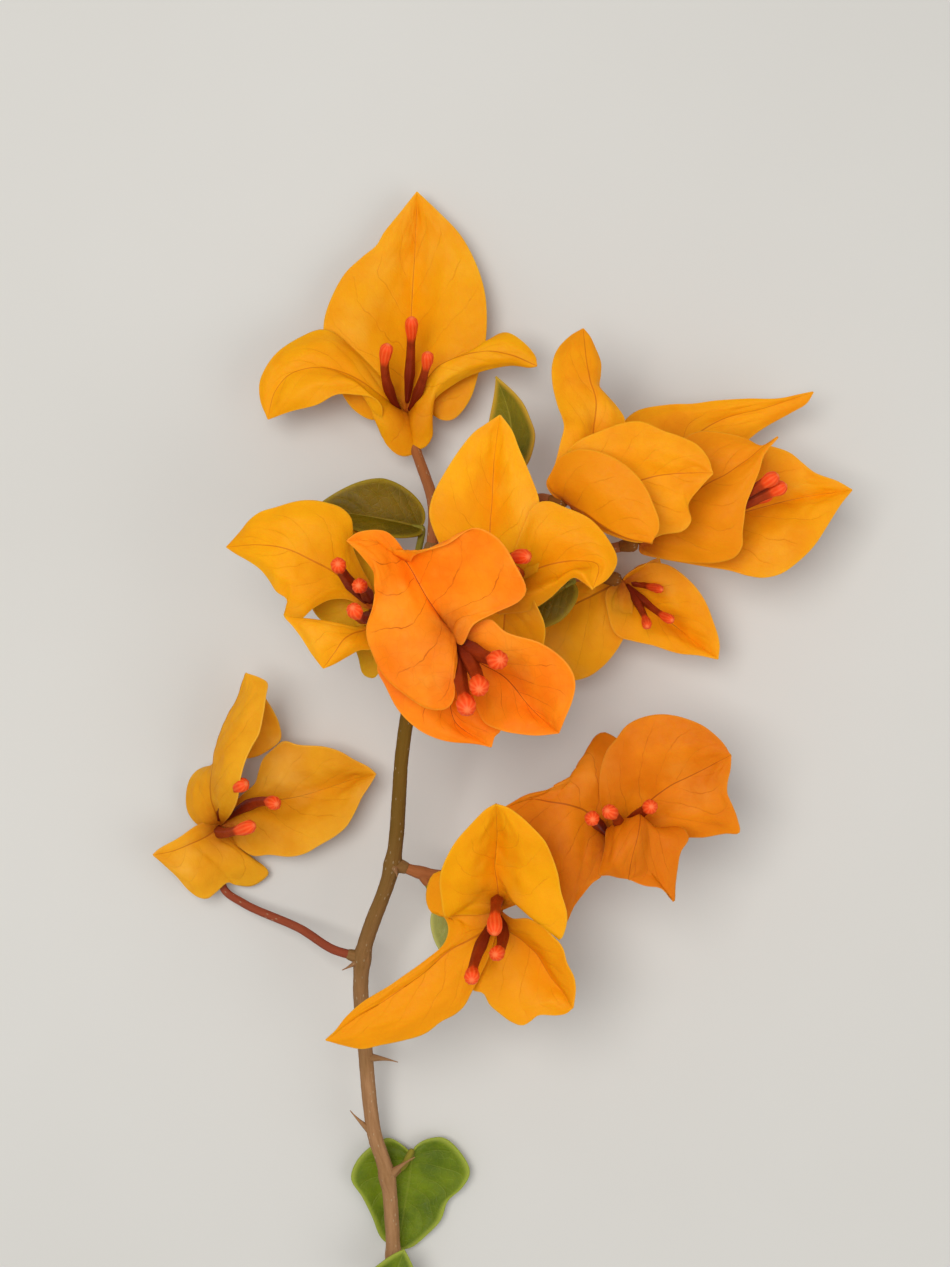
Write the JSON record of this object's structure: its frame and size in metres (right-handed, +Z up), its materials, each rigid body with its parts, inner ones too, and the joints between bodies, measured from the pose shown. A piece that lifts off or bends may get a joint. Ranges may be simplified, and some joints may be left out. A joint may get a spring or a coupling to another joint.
{
  "type": "cut flowering bougainvillea branch",
  "caption": "Cut flowering bougainvillea branch lying down: a thin thorny stem with golden-orange papery bracts around slim flower tubes, and a few green leaves.",
  "frame": {"origin": "middle of the branch's outline on the ground, at floor level", "axes": "+Y along the branch from its cut end to its top bloom, +Z up from the floor, +X to the right"},
  "size_m": [0.1136, 0.1922, 0.0533],
  "materials": {
    "bract_golden": "papery, golden yellow to orange",
    "bract_orange": "papery, deep orange",
    "flower": "matt coral red",
    "stem": "matt bark",
    "twig": "matt reddish bark",
    "leaf": "soft sheen, green"
  },
  "bodies": {
    "root": {"main_stem": "stem", "stalk_far_left": "twig", "branch_right": "twig", "stalk_low": "twig", "stalk_left": "twig", "stalk_front": "twig", "stalk_centre": "twig", "stalk_top": "twig", "branch_upper_right": "twig", "stalk_upper": "twig", "stalk_lower_right": "twig", "bloom_top": "bract_golden", "bloom_left": "bract_golden", "bloom_centre": "bract_golden", "bloom_front": "bract_orange", "bloom_upper": "bract_orange", "bloom_right": "bract_orange", "bloom_lower_right": "bract_orange", "bloom_far_left": "bract_golden", "bloom_low": "bract_golden", "bloom_low_right": "bract_orange", "leaf_bottom": "leaf", "leaf_end": "leaf", "leaf_pale": "leaf", "leaf_olive": "leaf", "leaf_behind": "leaf", "leaf_dark": "leaf"}
  },
  "joints": []
}
